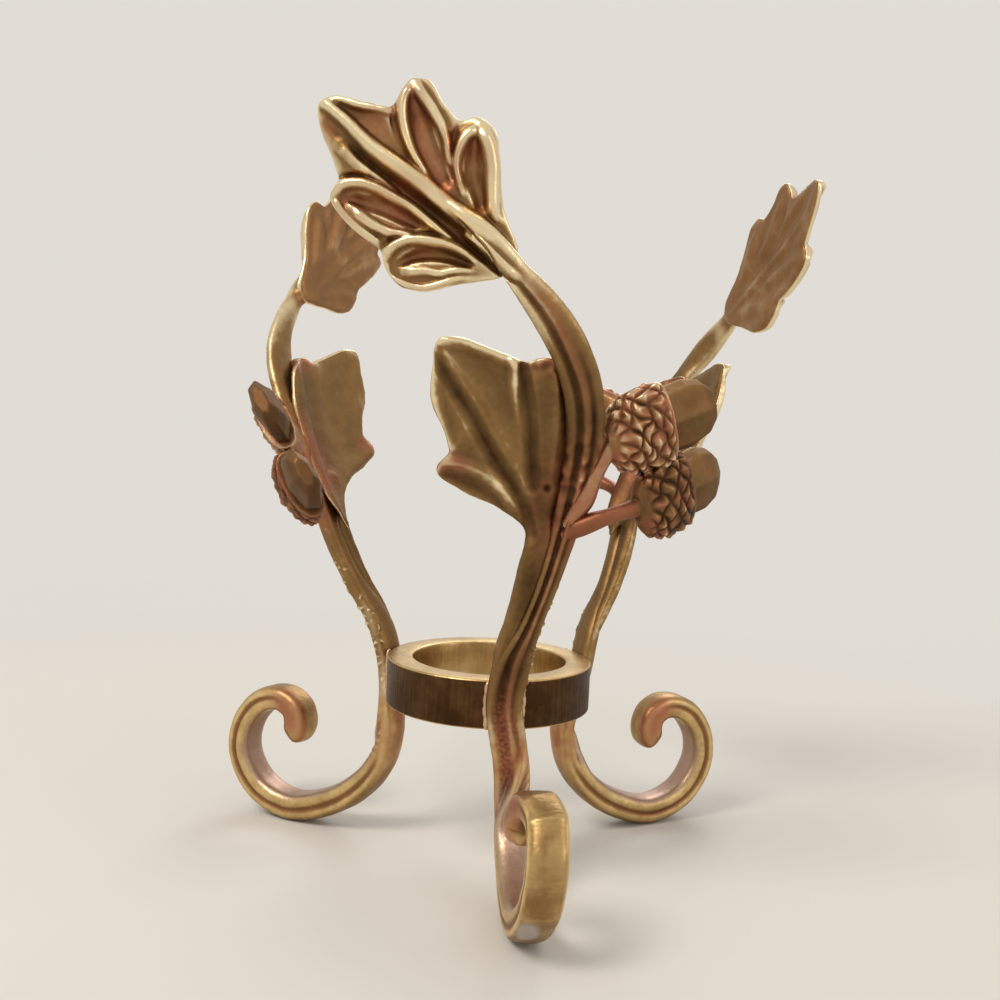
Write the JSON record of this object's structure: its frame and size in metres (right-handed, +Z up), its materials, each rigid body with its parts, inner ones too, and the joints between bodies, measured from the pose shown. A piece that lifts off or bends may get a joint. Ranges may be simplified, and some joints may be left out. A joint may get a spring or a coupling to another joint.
{
  "type": "tripod candle ring with leaf and acorn arms",
  "caption": "Cast brass tripod candle ring: an open ring cup holder brazed between scroll-footed arms that end in leaves and acorns.",
  "frame": {"origin": "on the axis of the ring's bore, halfway up the ring's wall", "axes": "+Z up along the bore's axis, the front arm along -Y, the ground at z = -0.0465 m"},
  "size_m": [0.1498, 0.1427, 0.1816],
  "materials": {
    "satin_brass_ring": "satin, worn, with fine upright scratches",
    "satin_brass_foot": "satin, hammered facets",
    "satin_brass_stem": "satin casting with darkened grooves",
    "cast_brass_leaf": "satin antique casting, dark in the grooves, pale on the rims",
    "copper_toned_cup": "satin casting with a copper tone, dark between the scales",
    "satin_brass_nut": "satin, faceted",
    "braze_metal": "rough braze seam"
  },
  "bodies": {
    "root": {"ring": "satin_brass_ring", "front_scroll_foot": "satin_brass_foot", "front_stem": "satin_brass_stem", "front_upper_leaf": "cast_brass_leaf", "front_lower_leaf": "cast_brass_leaf", "front_acorn_upper_cup": "copper_toned_cup", "front_acorn_upper_nut": "satin_brass_nut", "front_acorn_lower_cup": "copper_toned_cup", "front_acorn_lower_nut": "satin_brass_nut", "front_ring_braze": "braze_metal", "right_scroll_foot": "satin_brass_foot", "right_stem": "satin_brass_stem", "right_upper_leaf": "cast_brass_leaf", "right_lower_leaf": "cast_brass_leaf", "right_acorn_upper_cup": "copper_toned_cup", "right_acorn_upper_nut": "satin_brass_nut", "right_acorn_lower_cup": "copper_toned_cup", "right_acorn_lower_nut": "satin_brass_nut", "right_ring_braze": "braze_metal", "left_scroll_foot": "satin_brass_foot", "left_stem": "satin_brass_stem", "left_upper_leaf": "cast_brass_leaf", "left_lower_leaf": "cast_brass_leaf", "left_acorn_upper_cup": "copper_toned_cup", "left_acorn_upper_nut": "satin_brass_nut", "left_acorn_lower_cup": "copper_toned_cup", "left_acorn_lower_nut": "satin_brass_nut", "left_ring_braze": "braze_metal"}
  },
  "joints": []
}
